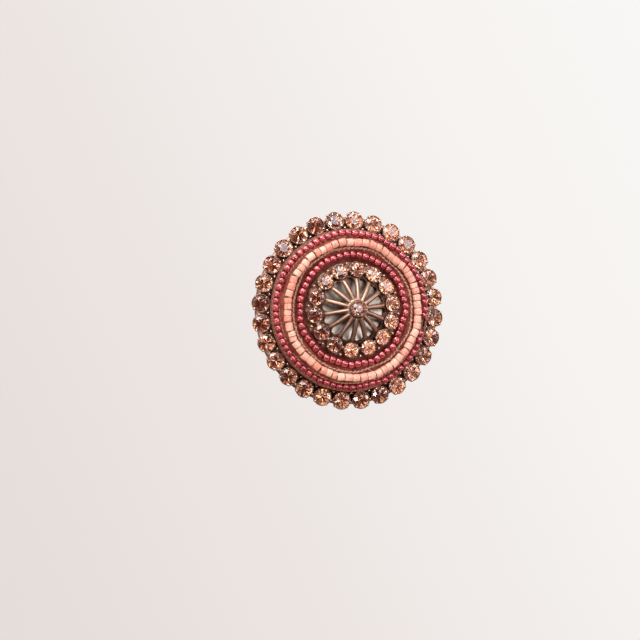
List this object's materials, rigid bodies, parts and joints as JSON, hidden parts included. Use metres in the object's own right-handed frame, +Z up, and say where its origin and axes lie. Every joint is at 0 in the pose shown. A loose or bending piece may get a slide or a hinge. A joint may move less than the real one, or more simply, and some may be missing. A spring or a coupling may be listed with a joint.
{
  "type": "button earring",
  "caption": "Round domed button earring: cup-set stones, rows of sewn glass beads and a pierced petal rosette on a padded bed, with a post behind.",
  "frame": {"origin": "centre of the flat back face, at the root of the post, where the earring sits against the ear lobe", "axes": "the front faces -Y, +Y runs back along the ear post, +Z is up as worn and +X is to the right seen from the front"},
  "size_m": [0.0374, 0.0223, 0.0374],
  "materials": {
    "back_metal": "plain worn silver-tone metal",
    "bed_leather": "soft dark red-brown leather",
    "red_glass": "crimson lustre glass seed beads",
    "peach_glass": "opaque peach cylinder beads with a soft shine",
    "antique_brass": "darkened coppery brass with bright worn edges",
    "rosette_brass": "antique rose-brass, bright on the ribs and dark in the hollows",
    "bright_disc": "bright silvery disc",
    "stone_glass": "foil-backed champagne topaz glass, round brilliant cut",
    "thread": "twisted gold-grey couching thread and dark red sewing thread"
  },
  "bodies": {
    "root": {"base_plate": "back_metal", "ear_post": "back_metal", "bead_bed": "bed_leather", "outer_bead_row": "red_glass", "middle_bead_row": "peach_glass", "inner_bead_row": "red_glass", "outer_setting": "antique_brass", "inner_setting": "antique_brass", "rosette_plate": "bright_disc", "rosette": "rosette_brass", "outer_stone_01": "stone_glass", "outer_stone_02": "stone_glass", "outer_stone_03": "stone_glass", "outer_stone_04": "stone_glass", "outer_stone_05": "stone_glass", "outer_stone_06": "stone_glass", "outer_stone_07": "stone_glass", "outer_stone_08": "stone_glass", "outer_stone_09": "stone_glass", "outer_stone_10": "stone_glass", "outer_stone_11": "stone_glass", "outer_stone_12": "stone_glass", "outer_stone_13": "stone_glass", "outer_stone_14": "stone_glass", "outer_stone_15": "stone_glass", "outer_stone_16": "stone_glass", "outer_stone_17": "stone_glass", "outer_stone_18": "stone_glass", "outer_stone_19": "stone_glass", "outer_stone_20": "stone_glass", "outer_stone_21": "stone_glass", "outer_stone_22": "stone_glass", "outer_stone_23": "stone_glass", "outer_stone_24": "stone_glass", "outer_stone_25": "stone_glass", "outer_stone_26": "stone_glass", "outer_stone_27": "stone_glass", "outer_stone_28": "stone_glass", "inner_stone_01": "stone_glass", "inner_stone_02": "stone_glass", "inner_stone_03": "stone_glass", "inner_stone_04": "stone_glass", "inner_stone_05": "stone_glass", "inner_stone_06": "stone_glass", "inner_stone_07": "stone_glass", "inner_stone_08": "stone_glass", "inner_stone_09": "stone_glass", "inner_stone_10": "stone_glass", "inner_stone_11": "stone_glass", "inner_stone_12": "stone_glass", "inner_stone_13": "stone_glass", "inner_stone_14": "stone_glass", "centre_stone": "stone_glass"}
  },
  "joints": []
}
